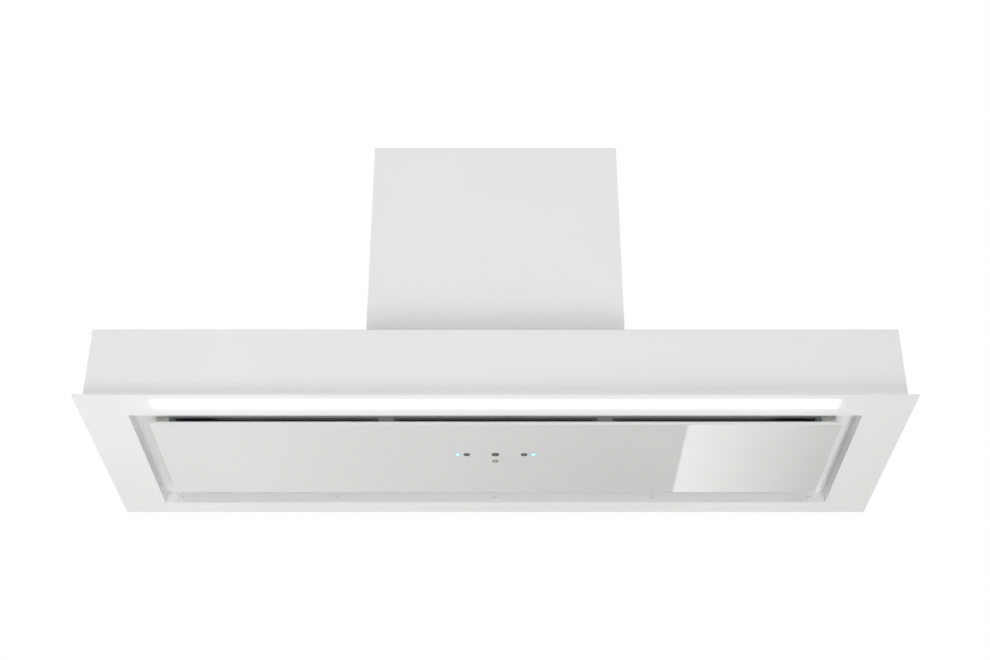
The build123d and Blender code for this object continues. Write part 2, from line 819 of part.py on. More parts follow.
# Catches that hold the panel shut: magnets on the well floor, strikes on the backing
catch_y = panel_y - panel_depth / 2 + catch_inset
strike_top = backing_top + strike_thickness
with BuildPart() as catch_magnets:
    with BuildSketch(Plane.XY.offset(strike_top + play)):
        with Locations((-hinge_x, catch_y), (hinge_x, catch_y)):
            Rectangle(catch_width, catch_depth)
    extrude(amount=floor_low - strike_top - play)
    chamfer(catch_magnets.edges().group_by(Axis.Z)[0], play)
save(catch_magnets, "catch_magnets")

with BuildPart() as catch_strikes:
    with BuildSketch(Plane.XY.offset(backing_top)):
        with Locations((-hinge_x, catch_y), (hinge_x, catch_y)):
            Rectangle(catch_width, catch_depth)
    extrude(amount=strike_thickness)
save(catch_strikes, "catch_strikes")


# Blower. The wheel turns from +Y towards +Z, and the volute widens the same way: its arcs have their
# centres on the corners of a small square, and each is one step larger than the last.
first_arc = wheel_radius + tongue_gap + volute_step / 2
tongue_arc = first_arc - volute_step
outlet_radius = wheel_radius + tongue_gap + 3 * volute_step
outlet_inner = outlet_radius - outlet_throat
outlet_y = axis_y + (outlet_radius + outlet_inner) / 2
tongue_angle = degrees(acos((outlet_inner + volute_step / 2) / tongue_arc))


def volute_outline(grow, rise):
    """The volute and its outlet up to rise, made larger all round by grow, in the current sketch."""
    corner = volute_step / 2
    with BuildLine() as outline:
        tongue = CenterArc((-corner, corner), tongue_arc + grow, tongue_angle, 90 - tongue_angle)
        CenterArc((-corner, -corner), first_arc + grow, 90, 90)
        CenterArc((corner, -corner), first_arc + volute_step + grow, 180, 90)
        last = CenterArc((corner, corner), first_arc + 2 * volute_step + grow, 270, 90)
        Line(last @ 1, tongue @ 0)
    make_face(outline.edges())
    with Locations((outlet_y - axis_y, rise / 2)):
        Rectangle(outlet_throat + 2 * grow, rise)


with BuildPart() as scroll_half_shell:
    with BuildSketch(wheel_plane):
        volute_outline(scroll_wall, outlet_rise + scroll_wall)
    extrude(amount=scroll_side)
    with BuildSketch(wheel_plane):
        volute_outline(0, outlet_rise + 2 * scroll_wall)
    extrude(amount=scroll_half, mode=Mode.SUBTRACT)
    with BuildSketch(wheel_plane.offset(scroll_half)):
        RegularPolygon(inlet_radius + scroll_wall, inlet_sides)
    extrude(amount=bell_flare, taper=-bell_slope)
    with BuildSketch(wheel_plane.offset(scroll_half)):
        RegularPolygon(inlet_radius, inlet_sides)
    extrude(amount=bell_flare, taper=-bell_slope, mode=Mode.SUBTRACT)

with BuildPart() as scroll_left:
    mirror(scroll_half_shell.part, about=Plane.YZ)
save(scroll_left, "scroll_left")

bush_planes = [
    Plane(
        origin=(scroll_side, axis_y + bush_circle * cos(radians(a)), axis_z + bush_circle * sin(radians(a))),
        z_dir=(1, 0, 0),
    )
    for a in bush_angles
]
with BuildPart() as scroll_right:
    add(scroll_half_shell.part)
    drill(bush_planes, screw_hole_radius, scroll_wall)
save(scroll_right, "scroll_right")

# Double inlet wheel: forward curved blades on a middle disc, with a ring at each end and a hub
blade_bends = [radians(i * blade_arc / blade_runs - 90) for i in range(blade_runs + 1)]
blade_back = [(blade_root + blade_curve * cos(a), blade_curve * (1 + sin(a))) for a in blade_bends]
inner_curve = blade_curve - blade_thickness
blade_face = [(blade_root + inner_curve * cos(a), blade_curve + inner_curve * sin(a)) for a in blade_bends]
with BuildSketch() as blade:
    with BuildLine():
        Polyline(*blade_back, *reversed(blade_face), close=True)
    make_face()

with BuildPart() as impeller:
    with BuildSketch(wheel_plane.offset(-wheel_half)):
        with PolarLocations(0, blade_count):
            add(blade.sketch)
    extrude(amount=2 * wheel_half)
    for ring_low in (-wheel_half, wheel_half - wheel_ring):
        with BuildSketch(wheel_plane.offset(ring_low)):
            RegularPolygon(wheel_radius, blade_count)
            RegularPolygon((blade_root + wheel_radius) / 2, blade_count, mode=Mode.SUBTRACT)
        extrude(amount=wheel_ring)
    with BuildSketch(wheel_plane.offset(-wheel_disc / 2)):
        RegularPolygon(wheel_radius, blade_count)
    extrude(amount=wheel_disc)
    with BuildSketch(wheel_plane.offset(-hub_half)):
        RegularPolygon(hub_radius, pin_sides)
    extrude(amount=2 * hub_half)
    with BuildSketch(wheel_plane.offset(-hub_half)):
        Circle(shaft_radius + shaft_fit)
    extrude(amount=2 * hub_half, mode=Mode.SUBTRACT)
save(impeller, "impeller")

motor_face = motor_gap + motor_length
shaft_depth = motor_length - 2 * hub_half
with BuildPart() as motor_shaft:
    with BuildSketch(wheel_plane.offset(-hub_half)):
        Circle(shaft_radius)
    extrude(amount=hub_half + motor_gap + shaft_depth)
save(motor_shaft, "motor_shaft")

with BuildPart() as fan_motor:
    with BuildSketch(wheel_plane.offset(motor_gap)):
        RegularPolygon(motor_radius, motor_sides)
    extrude(amount=motor_length)
    with BuildSketch(wheel_plane.offset(motor_face)):
        RegularPolygon(motor_bell_radius, motor_sides)
    extrude(amount=motor_bell_length)
    with BuildSketch(wheel_plane.offset(motor_gap)):
        Circle(shaft_radius + play)
    extrude(amount=shaft_depth + 2 * play, mode=Mode.SUBTRACT)
save(fan_motor, "fan_motor")

with BuildPart() as motor_spider:
    with BuildSketch(wheel_plane.offset(motor_face)):
        RegularPolygon(spider_ring, pin_sides)
        for a in bush_angles:
            with Locations(Location((0, 0, 0), (0, 0, a))):
                with Locations((bush_circle / 2, 0)):
                    Rectangle(bush_circle, spider_arm_width)
                with Locations((bush_circle, 0)):
                    RegularPolygon(spider_arm_width / 2, pin_sides)
                    RegularPolygon(screw_hole_radius, screw_sides, major_radius=False, mode=Mode.SUBTRACT)
        RegularPolygon(motor_bell_radius + play, motor_sides, major_radius=False, mode=Mode.SUBTRACT)
    extrude(amount=spider_thickness)
save(motor_spider, "motor_spider")

with BuildPart() as motor_bushes:
    for plane in bush_planes:
        with BuildSketch(plane):
            RegularPolygon(bush_radius, pin_sides)
            RegularPolygon(screw_hole_radius, screw_sides, major_radius=False, mode=Mode.SUBTRACT)
        extrude(amount=motor_face - scroll_side)
save(motor_bushes, "motor_bushes")

with BuildPart() as motor_screws:
    with Locations(*[plane.offset(motor_face - scroll_side + spider_thickness) for plane in bush_planes]):
        add(pan_screw(motor_face - scroll_side + spider_thickness + scroll_wall))
save(motor_screws, "motor_screws")

# Hangers that carry the blower under the motor box's top
hanger_low = box_ceiling - hanger_drop
with BuildPart() as blower_hangers:
    for side in sides.values():
        with BuildSketch(Plane.XZ.offset(-hanger_y - hanger_width / 2)):
            with BuildLine():
                Polyline(
                    (side * scroll_side, hanger_low),
                    (side * (scroll_side + hanger_sheet), hanger_low),
                    (side * (scroll_side + hanger_sheet), box_ceiling - hanger_sheet),
                    (side * (scroll_side + hanger_sheet + hanger_foot), box_ceiling - hanger_sheet),
                    (side * (scroll_side + hanger_sheet + hanger_foot), box_ceiling),
                    (side * scroll_side, box_ceiling),
                    close=True,
                )
            make_face()
        extrude(amount=hanger_width)
    drill(hanger_screw_planes, screw_hole_radius, casing_sheet + hanger_sheet)
save(blower_hangers, "blower_hangers")


def funnel(grow):
    """From the scroll's oblong outlet to a square round the collar's opening, larger all round by grow."""
    outlet_half = outlet_throat / 2 + grow
    mouth_half = adapter_mouth / 2 + grow
    with BuildPart() as solid:
        with BuildSketch(Plane.YZ):
            with BuildLine():
                Polyline(
                    (outlet_y - outlet_half, outlet_top),
                    (outlet_y + outlet_half, outlet_top),
                    (collar_y + mouth_half, box_ceiling),
                    (collar_y - mouth_half, box_ceiling),
                    close=True,
                )
            make_face()
        extrude(amount=adapter_mouth, both=True)
        with BuildSketch(Plane.XZ):
            with BuildLine():
                Polyline(
                    (-scroll_half - grow, outlet_top),
                    (scroll_half + grow, outlet_top),
                    (mouth_half, box_ceiling),
                    (-mouth_half, box_ceiling),
                    close=True,
                )
            make_face()
        extrude(amount=2 * adapter_mouth, both=True, mode=Mode.INTERSECT)
    return solid.part


# Adapter: two tapered profiles that cross each other, hollowed by the same form
with BuildPart() as outlet_adapter:
    add(funnel(adapter_wall))
    add(funnel(0), mode=Mode.SUBTRACT)
save(outlet_adapter, "outlet_adapter")

# Outlet collar: base on the motor box, tube for the duct, ledge that the flaps close on
collar_plane = Plane(origin=(0, collar_y, 0), x_dir=(1, 0, 0), z_dir=(0, -1, 0))
collar_inner = collar_radius - collar_wall
with BuildPart() as outlet_collar:
    with BuildSketch(collar_plane):
        with BuildLine():
            Polyline(
                (collar_inner, collar_low),
                (collar_base_radius, collar_low),
                (collar_base_radius, collar_tube_low),
                (collar_radius, collar_tube_low),
                (collar_radius, collar_low + collar_height),
                (collar_inner, collar_low + collar_height),
                (collar_inner, ledge_top),
                (ledge_radius, ledge_top),
                close=True,
            )
        make_face()
    revolve(axis=Axis((0, collar_y, 0), (0, 0, 1)))
    with BuildSketch(Plane.YZ.offset(-spindle_half)):
        with Locations((collar_y, spindle_z)):
            RegularPolygon(spindle_radius + spindle_play, pin_sides, major_radius=False)
    extrude(amount=2 * spindle_half, mode=Mode.SUBTRACT)
    drill(collar_screw_planes, screw_hole_radius, collar_base)
save(outlet_collar, "outlet_collar")

with BuildPart() as flap_spindle:
    with BuildSketch(Plane.YZ.offset(-spindle_half)):
        with Locations((collar_y, spindle_z)):
            RegularPolygon(spindle_radius, pin_sides)
    extrude(amount=2 * spindle_half)
save(flap_spindle, "flap_spindle")


def damper_flap(rearward):
    """One half-round flap, with two knuckles on the spindle. rearward is 1 for the rear one, else -1."""
    plate_gap = flap_knuckle_radius + play
    flap_bore = spindle_radius + pin_play
    knuckle_shift = rearward * flap_knuckle_pitch / 4
    knuckles = [i * flap_knuckle_pitch + knuckle_shift for i in (-0.5, 0.5)]
    with BuildPart() as flap:
        with BuildSketch(Plane.XY.offset(flap_low)):
            with Locations((0, collar_y)):
                Circle(collar_inner - flap_gap)
            with Locations((0, collar_y + rearward * (plate_gap + collar_radius))):
                Rectangle(2 * collar_radius, 2 * collar_radius, mode=Mode.INTERSECT)
        extrude(amount=flap_thickness)
        for x in knuckles:
            with BuildSketch(Plane.YZ.offset(x - flap_knuckle_length / 2)):
                with Locations((collar_y, spindle_z)):
                    RegularPolygon(flap_knuckle_radius, pin_sides)
                with Locations((collar_y + rearward * plate_gap / 2, flap_low + flap_thickness / 2)):
                    Rectangle(plate_gap, flap_thickness)
                with Locations((collar_y, spindle_z)):
                    RegularPolygon(flap_bore, pin_sides, major_radius=False, mode=Mode.SUBTRACT)
            extrude(amount=flap_knuckle_length)
    return flap


save(damper_flap(-1), "flap_front")
save(damper_flap(1), "flap_rear")

# Screws of the casings: end covers, motor box feet, blower hangers and outlet collar
with BuildPart() as casing_screws:
    for side in sides.values():
        with Locations(*cover_screw_planes(body_width, body_depth, plate_top, body_top, side)):
            add(pan_screw(screw_length))
        with Locations(*cover_screw_planes(motor_box_width, motor_box_depth, body_top, motor_box_top, side)):
            add(pan_screw(screw_length))
    with Locations(*foot_screw_planes, *fitting_screw_planes, *hanger_screw_planes, *collar_screw_planes):
        add(pan_screw(screw_length))
save(casing_screws, "casing_screws")

# Electronics box under the body's top, run capacitor beside it, cable gland on the motor box
with BuildPart() as electronics_box:
    with BuildSketch(Plane.XY.offset(box_low + lid_thickness)):
        with Locations((box_x, 0)):
            Rectangle(box_width, box_depth)
    extrude(amount=box_height - lid_thickness)
    chamfer(electronics_box.edges().filter_by(Axis.Z), 2 * box_wall)
    with BuildSketch(Plane.XY.offset(box_low + lid_thickness)):
        with Locations((box_x, 0)):
            Rectangle(box_width - 2 * box_wall, box_depth - 2 * box_wall)
    extrude(amount=box_height - lid_thickness - box_wall, mode=Mode.SUBTRACT)
    drill(fitting_screw_planes, screw_hole_radius, casing_sheet + box_wall)
save(electronics_box, "electronics_box")

with BuildPart() as electronics_lid:
    with BuildSketch(Plane.XY.offset(box_low)):
        with Locations((box_x, 0)):
            Rectangle(box_width, box_depth)
    extrude(amount=lid_thickness)
    chamfer(electronics_lid.edges().filter_by(Axis.Z), 2 * box_wall)
save(electronics_lid, "electronics_lid")

capacitor_z = body_ceiling - capacitor_radius - play
with BuildPart() as run_capacitor:
    with BuildSketch(Plane.XZ.offset(-capacitor_length / 2)):
        with Locations((capacitor_x, capacitor_z)):
            RegularPolygon(capacitor_radius, capacitor_sides)
    extrude(amount=capacitor_length)
save(run_capacitor, "run_capacitor")

with BuildPart() as capacitor_clip:
    with BuildSketch(Plane.XZ.offset(-clip_width / 2)):
        with Locations((capacitor_x, capacitor_z)):
            RegularPolygon(clip_inner + clip_sheet, capacitor_sides)
            Rectangle(2 * clip_inner + 2 * clip_sheet, 2 * clip_inner, align=(Align.CENTER, Align.MIN))
        with Locations((capacitor_x, body_ceiling - clip_sheet)):
            Rectangle(2 * (clip_inner + clip_sheet + clip_foot), clip_sheet, align=(Align.CENTER, Align.MIN))
        with Locations((capacitor_x, capacitor_z)):
            RegularPolygon(clip_inner, capacitor_sides, mode=Mode.SUBTRACT)
            Rectangle(2 * clip_inner, 2 * clip_inner, align=(Align.CENTER, Align.MIN), mode=Mode.SUBTRACT)
        with Locations((capacitor_x, body_ceiling)):
            Rectangle(4 * clip_inner, 2 * clip_inner, align=(Align.CENTER, Align.MIN), mode=Mode.SUBTRACT)
    extrude(amount=clip_width)
    drill(fitting_screw_planes, screw_hole_radius, casing_sheet + clip_sheet)
save(capacitor_clip, "capacitor_clip")

with BuildPart() as cable_gland:
    with BuildSketch(Plane.XY.offset(motor_box_top)):
        with Locations((gland_x, gland_y)):
            RegularPolygon(gland_hex, 6)
    extrude(amount=gland_height)
    with BuildSketch(Plane.XY.offset(motor_box_top + gland_height)):
        with Locations((gland_x, gland_y)):
            RegularPolygon(gland_cap_radius, gland_ribs)
    extrude(amount=gland_cap_height)
    with BuildSketch(Plane.XY.offset(box_ceiling - gland_height)):
        with Locations((gland_x, gland_y)):
            RegularPolygon(gland_thread_radius, gland_ribs)
    extrude(amount=casing_sheet + gland_height)
    with BuildSketch(Plane.XY.offset(box_ceiling - gland_height)):
        with Locations((gland_x, gland_y)):
            RegularPolygon(gland_thread_bore, gland_ribs)
    extrude(amount=casing_sheet + gland_height + gland_height / 2, mode=Mode.SUBTRACT)
    with BuildSketch(Plane.XY.offset(motor_box_top)):
        with Locations((gland_x, gland_y)):
            Circle(gland_bore)
    extrude(amount=gland_height + gland_cap_height, mode=Mode.SUBTRACT)
save(cable_gland, "cable_gland")
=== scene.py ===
"""Looks of a built-in range hood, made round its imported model.

Every piece is in metres in the part's own frame: +X to the cook's right, +Y to the wall, +Z up.
Sizes named in millimetres are multiplied by MM where they are used.
"""

import json
import math

import bmesh
import bpy
from mathutils import Matrix, Vector

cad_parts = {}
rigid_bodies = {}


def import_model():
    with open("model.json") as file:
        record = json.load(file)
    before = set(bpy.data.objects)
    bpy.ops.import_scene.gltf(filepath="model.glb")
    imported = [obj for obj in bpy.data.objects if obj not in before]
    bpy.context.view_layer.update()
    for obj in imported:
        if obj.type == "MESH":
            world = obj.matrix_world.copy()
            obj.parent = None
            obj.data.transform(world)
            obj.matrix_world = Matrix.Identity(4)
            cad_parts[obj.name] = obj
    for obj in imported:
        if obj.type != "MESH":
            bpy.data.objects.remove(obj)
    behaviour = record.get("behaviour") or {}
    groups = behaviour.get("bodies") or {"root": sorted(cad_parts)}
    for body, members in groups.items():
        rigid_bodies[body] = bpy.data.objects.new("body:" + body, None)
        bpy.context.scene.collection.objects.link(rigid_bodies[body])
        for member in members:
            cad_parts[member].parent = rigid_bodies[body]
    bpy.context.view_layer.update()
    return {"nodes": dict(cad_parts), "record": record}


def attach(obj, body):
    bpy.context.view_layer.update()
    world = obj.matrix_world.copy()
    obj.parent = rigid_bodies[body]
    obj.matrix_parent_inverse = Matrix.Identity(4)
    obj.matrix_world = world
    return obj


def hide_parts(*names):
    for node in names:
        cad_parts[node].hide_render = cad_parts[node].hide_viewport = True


MM = 0.001
MERGE_DISTANCE = 0.002 * MM

bpy.ops.object.select_all(action="SELECT")
bpy.ops.object.delete()
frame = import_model()
record = frame["record"]
slot_of = {row["node"]: row["material_slot"] for row in record["subparts"]}
body_of = {
    node: body for body, nodes in record["behaviour"]["bodies"].items() for node in nodes
}


# Material helpers


def linear(hex_colour):
    """An sRGB hex colour as the linear RGBA that Blender's sockets take."""
    channels = [int(hex_colour[i:i + 2], 16) / 255 for i in (1, 3, 5)]
    return (
        *(c / 12.92 if c <= 0.04045 else ((c + 0.055) / 1.055) ** 2.4 for c in channels),
        1.0,
    )


def add_node(tree, kind, inputs=None, **settings):
    """Adds a node with its settings. An input is given a value, or a socket to be linked to."""
    node = tree.nodes.new(kind)
    for name, value in settings.items():
        setattr(node, name, value)
    for name, value in (inputs or {}).items():
        if isinstance(value, bpy.types.NodeSocket):
            tree.links.new(value, node.inputs[name])
        else:
            node.inputs[name].default_value = value
    return node


def start_finish(name, colour, roughness, **sockets):
    """A new material with its one shader. Other sockets are given with _ for each space."""
    finish = bpy.data.materials.new(name)
    finish.use_nodes = True
    tree = finish.node_tree
    shader = tree.nodes["Principled BSDF"]
    shader.inputs["Base Color"].default_value = linear(colour)
    shader.inputs["Roughness"].default_value = roughness
    for socket, value in sockets.items():
        shader.inputs[socket.replace("_", " ")].default_value = value
    return finish, tree, shader


def mottle(tree, size, detail=2.0, stretch=(1, 1, 1)):
    """A pattern of lumps size mm across, on the piece's own coordinates, longer where stretched."""
    place = add_node(tree, "ShaderNodeTexCoord").outputs["Object"]
    drawn_out = add_node(
        tree, "ShaderNodeMapping", {"Vector": place, "Scale": [1 / s for s in stretch]}
    )
    return add_node(
        tree,
        "ShaderNodeTexNoise",
        {"Vector": drawn_out.outputs["Vector"], "Scale": 1 / (size * MM), "Detail": detail},
    ).outputs["Fac"]


def toned(colour, share):
    """A hex colour, and the same colour at a share of its strength, both linear."""
    tone = linear(colour)
    return tone, tuple(share * c for c in tone[:3]) + (1.0,)


def work_in(tree, shader, pattern, gloss=None, tones=None, relief=0.0, ends=(0.3, 0.7)):
    """Lets a pattern show in a finish, as gloss, as tones or as relief in mm.

    Gloss is the roughness at the pattern's two ends, and tones are the colours at its 0 and 1.
    """
    if gloss:
        roughness = add_node(
            tree,
            "ShaderNodeMapRange",
            {
                "Value": pattern,
                "From Min": ends[0],
                "From Max": ends[1],
                "To Min": gloss[0],
                "To Max": gloss[1],
            },
        )
        tree.links.new(roughness.outputs["Result"], shader.inputs["Roughness"])
    if tones:
        colour = add_node(
            tree, "ShaderNodeMix", {0: pattern, 6: tones[0], 7: tones[1]}, data_type="RGBA"
        )
        tree.links.new(colour.outputs[2], shader.inputs["Base Color"])
    if relief:
        bump = add_node(tree, "ShaderNodeBump", {"Height": pattern, "Distance": relief * MM})
        tree.links.new(bump.outputs["Normal"], shader.inputs["Normal"])


# Finishes

# The size of a zinc crystal, and the pitch of the diodes behind the diffuser, in mm
CRYSTAL = 9.0
DIODE_PITCH = 21.0


def powder_coat(name, colour):
    """Polyester powder baked on steel: faint orange peel and a satin gloss soften reflections."""
    finish, tree, shader = start_finish(name, colour, 0.34)
    work_in(tree, shader, mottle(tree, 1.6, 1.0), relief=0.012)
    work_in(tree, shader, mottle(tree, 90, 3.0), (0.31, 0.38), toned(colour, 0.985))
    return finish


def back_painted_glass(name):
    """Float glass with white enamel fired on its back: a mirror over flat white, with slightly
    green edges made paler as a painted highlight.
    """
    finish, tree, shader = start_finish(name, "#D7D7D7", 0.025, IOR=1.52)
    normal = add_node(tree, "ShaderNodeTexCoord").outputs["Normal"]
    upright = add_node(tree, "ShaderNodeSeparateXYZ", {"Vector": normal}).outputs["Z"]
    level = add_node(tree, "ShaderNodeMath", {0: upright}, operation="ABSOLUTE").outputs[0]
    # Faces that are not level, the pane's edges, take a pale green tone: the green is the glass's
    # own tint, the paleness a painted highlight of the lit edge.
    face = add_node(
        tree, "ShaderNodeMapRange", {"Value": level, "From Min": 0.4, "From Max": 0.8}
    ).outputs["Result"]
    enamel = add_node(
        tree,
        "ShaderNodeMix",
        {0: mottle(tree, 120), 6: linear("#D5D5D5"), 7: linear("#D9D9D9")},
        data_type="RGBA",
    ).outputs[2]
    work_in(tree, shader, face, tones=(linear("#F5F8F7"), enamel))
    return finish


def moulded_plastic(name, colour, roughness, grain=0.8, depth=0.01):
    """Injection moulded plastic: spark grain dulls the highlight, flow marks cloud the gloss."""
    finish, tree, shader = start_finish(name, colour, roughness, IOR=1.46)
    # Real spark grain is near 0.1 mm across; it is drawn as coarse as it needs to show
    gloss = (roughness - 0.05, roughness + 0.06)
    work_in(tree, shader, mottle(tree, grain), relief=depth)
    work_in(tree, shader, mottle(tree, 25), gloss, toned(colour, 0.86))
    return finish


def plated_steel(name, colour, roughness, cloud_size=6):
    """Zinc plated steel: a thin bright coat, clouded where the bath left it thicker."""
    finish, tree, shader = start_finish(name, colour, roughness, Metallic=1.0)
    gloss = (roughness - 0.08, roughness + 0.12)
    work_in(tree, shader, mottle(tree, cloud_size, 3.0), gloss, toned(colour, 0.78))
    return finish


def galvanised_sheet(name):
    """Hot dipped steel sheet: zinc crystals, each with its own tone and gloss."""
    finish, tree, shader = start_finish(name, "#B4B8BB", 0.4, Metallic=1.0)
    place = add_node(tree, "ShaderNodeTexCoord").outputs["Object"]
    crystal = add_node(
        tree,
        "ShaderNodeTexVoronoi",
        {"Vector": place, "Scale": 1 / (CRYSTAL * MM), "Randomness": 1.0},
    ).outputs["Color"]
    tone = add_node(tree, "ShaderNodeSeparateXYZ", {"Vector": crystal}).outputs["X"]
    tones = (linear("#A7ACB0"), linear("#C4C8CA"))
    work_in(tree, shader, tone, (0.30, 0.48), tones, ends=(0, 1))
    return finish


def drawn_aluminium(name, colour, roughness, stretch):
    """Extruded or rolled aluminium, anodised: fine lines along the way it was drawn."""
    finish, tree, shader = start_finish(name, colour, roughness, Metallic=1.0)
    # The real lines are near 0.1 mm apart; 0.6 mm is the finest that shows here.
    lines = mottle(tree, 0.6, 2.0, stretch)
    gloss = (roughness - 0.07, roughness + 0.1)
    work_in(tree, shader, lines, gloss, toned(colour, 0.85), relief=0.004)
    return finish


def opal_acrylic(name):
    """Opal acrylic lit from behind: its own light hides all but a trace of the diodes' pitch."""
    finish, tree, shader = start_finish(
        name, "#F6F6F4", 0.3, IOR=1.49, Emission_Strength=1.0
    )
    place = add_node(tree, "ShaderNodeTexCoord").outputs["Object"]
    across = add_node(tree, "ShaderNodeSeparateXYZ", {"Vector": place}).outputs["X"]
    turns = add_node(
        tree,
        "ShaderNodeMath",
        {0: across, 1: 2 * math.pi / (DIODE_PITCH * MM)},
        operation="MULTIPLY",
    ).outputs[0]
    wave = add_node(tree, "ShaderNodeMath", {0: turns}, operation="COSINE").outputs[0]
    glow = add_node(tree, "ShaderNodeMapRange", {"Value": wave, "From Min": -1}).outputs["Result"]
    trace = add_node(
        tree,
        "ShaderNodeMix",
        {0: glow, 6: linear("#F7FAFF"), 7: linear("#FFFFFF")},
        data_type="RGBA",
    )
    tree.links.new(trace.outputs[2], shader.inputs["Emission Color"])
    return finish


def clear_lens(name, colour, glow=None, strength=0.0):
    """A polished moulded lens, smoked or tinted, with light behind it where glow is given."""
    finish, tree, shader = start_finish(name, colour, 0.12, IOR=1.49)
    work_in(tree, shader, mottle(tree, 0.9, 1.0), (0.08, 0.18))
    if glow:
        shader.inputs["Emission Color"].default_value = linear(glow)
        shader.inputs["Emission Strength"].default_value = strength
    return finish


finishes = {
    "white_powder_coat": powder_coat("polyester_powder_coat", "#F0F0F0"),
    "white_screw": powder_coat("lacquered_screw", "#EAEAEA"),
    "galvanised_steel": galvanised_sheet("galvanised_sheet"),
    "zinc_screw": plated_steel("zinc_plated_screw", "#C2C3C4", 0.32, 3),
    "zinc_steel": plated_steel("zinc_plated_steel", "#B4B6B8", 0.36),
    "ferrite_magnet": moulded_plastic("magnet_housing_abs", "#DCDCDA", 0.5, 0.5),
    "back_painted_glass": back_painted_glass("back_painted_glass"),
    "cyan_light": clear_lens("cyan_lit_acrylic", "#7FC4CC", "#D8FDFF", 0.9),
    "dark_window": clear_lens("smoked_acrylic", "#767674"),
    "pale_window": clear_lens("frosted_acrylic", "#B9BAB5"),
    "black_plastic": moulded_plastic("black_abs", "#1C1C1E", 0.5),
    "opal_diffuser": opal_acrylic("opal_acrylic"),
    "anodised_aluminium": drawn_aluminium("anodised_aluminium", "#B9BBBD", 0.38, (40, 1, 1)),
    "aluminium_mesh": drawn_aluminium("expanded_aluminium", "#8A8C8E", 0.42, (1, 1, 1)),
    "white_circuit_board": moulded_plastic("white_solder_mask", "#E4E4E1", 0.42, 1.0, 0.004),
    "light_point": clear_lens("phosphor_silicone", "#E8D98A"),
    "dark_plastic": moulded_plastic("dark_polypropylene", "#3B3C3E", 0.46),
    "grey_plastic": moulded_plastic("flame_retardant_abs", "#9A9C9E", 0.48),
    "capacitor_plastic": moulded_plastic("capacitor_can", "#DDDDD8", 0.4, 0.6, 0.004),
    "impeller_plastic": moulded_plastic("glass_filled_nylon", "#4A4C4E", 0.52, 0.7),
    "motor_steel": powder_coat("black_motor_lacquer", "#35373A"),
    "black_rubber": moulded_plastic("moulded_rubber", "#161616", 0.68, 0.4, 0.02),
}


# Modelling helpers

SHARP_ANGLE = math.radians(35)
FLAT_ANGLE = math.radians(0.5)
# Edges that bend more than this are shaded as creases
SHEET_CREASE = math.radians(40)
SCREW_CREASE = math.radians(32)
TURNED_CREASE = math.radians(30)
# How far from a sheet's outer corner its upright edges are looked for, in mm
CORNER_REACH = 0.7
ROUND_SIDES = 36


def choose(*objects):
    """Makes these the only selected objects, the first of them active."""
    bpy.ops.object.select_all(action="DESELECT")
    for chosen in objects:
        chosen.select_set(True)
    bpy.context.view_layer.objects.active = objects[0]


def box_of(points):
    """The lowest and highest corner of some points."""
    return (
        Vector([min(p[i] for p in points) for i in range(3)]),
        Vector([max(p[i] for p in points) for i in range(3)]),
    )


def box_centre(low, high, level=0.0):
    """The middle of a box in X and Y, at a level of its own."""
    return Vector(((low.x + high.x) / 2, (low.y + high.y) / 2, level))


def node_box(node):
    """The lowest and highest corner of a CAD node."""
    return box_of([v.co for v in frame["nodes"][node].data.vertices])


def select_edges(low, high):
    """In edit mode, selects the edges inside a box in mm."""
    mesh = bmesh.from_edit_mesh(bpy.context.object.data)
    reach = 0.05 * MM
    for edge in mesh.edges:
        edge.select_set(all(
            low[i] * MM - reach <= vertex.co[i] <= high[i] * MM + reach
            for vertex in edge.verts for i in range(3)
        ))
    mesh.select_flush_mode()
    bmesh.update_edit_mesh(bpy.context.object.data)


def apply_all(piece):
    """Applies the piece's modifiers in turn."""
    choose(piece)
    for modifier in list(piece.modifiers):
        bpy.ops.object.modifier_apply(modifier=modifier.name)


def round_edges(piece, edge):
    """Rounds every sharp edge by edge mm, and shades the large faces flat between them."""
    if edge:
        bevel = piece.modifiers.new("Bevel", "BEVEL")
        bevel.width = edge * MM
        bevel.segments = 2
        bevel.limit_method = "ANGLE"
        bevel.angle_limit = SHARP_ANGLE
        bevel.miter_outer = "MITER_ARC"
    apply_all(piece)
    bpy.ops.object.shade_smooth_by_angle(angle=SHEET_CREASE)
    piece.modifiers.new("WeightedNormal", "WEIGHTED_NORMAL").keep_sharp = True
    apply_all(piece)


def finish_piece(piece, name, node, slot=None, finish=None):
    """Names a piece that stands for a CAD node, gives it its material and body, and hides the node.

    The slot is the node's own, and the material is the slot's, unless another is given.
    """
    slot = slot or slot_of[node]
    piece.name = name
    piece.data.name = name
    piece.data.materials.clear()
    piece.data.materials.append(finish or finishes[slot])
    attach(piece, body_of[node])
    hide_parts(node)
    return piece


def join_pieces(pieces, name, node, slot=None, finish=None):
    """Several pieces as one, which stands for a CAD node."""
    choose(*pieces)
    if len(pieces) > 1:
        bpy.ops.object.join()
    return finish_piece(pieces[0], name, node, slot, finish)


def placed_copy(pattern, place):
    """A copy of a modelled piece, with its own mesh, moved by the matrix place."""
    piece = pattern.copy()
    piece.data = pattern.data.copy()
    piece.data.transform(place)
    bpy.context.scene.collection.objects.link(piece)
    return piece


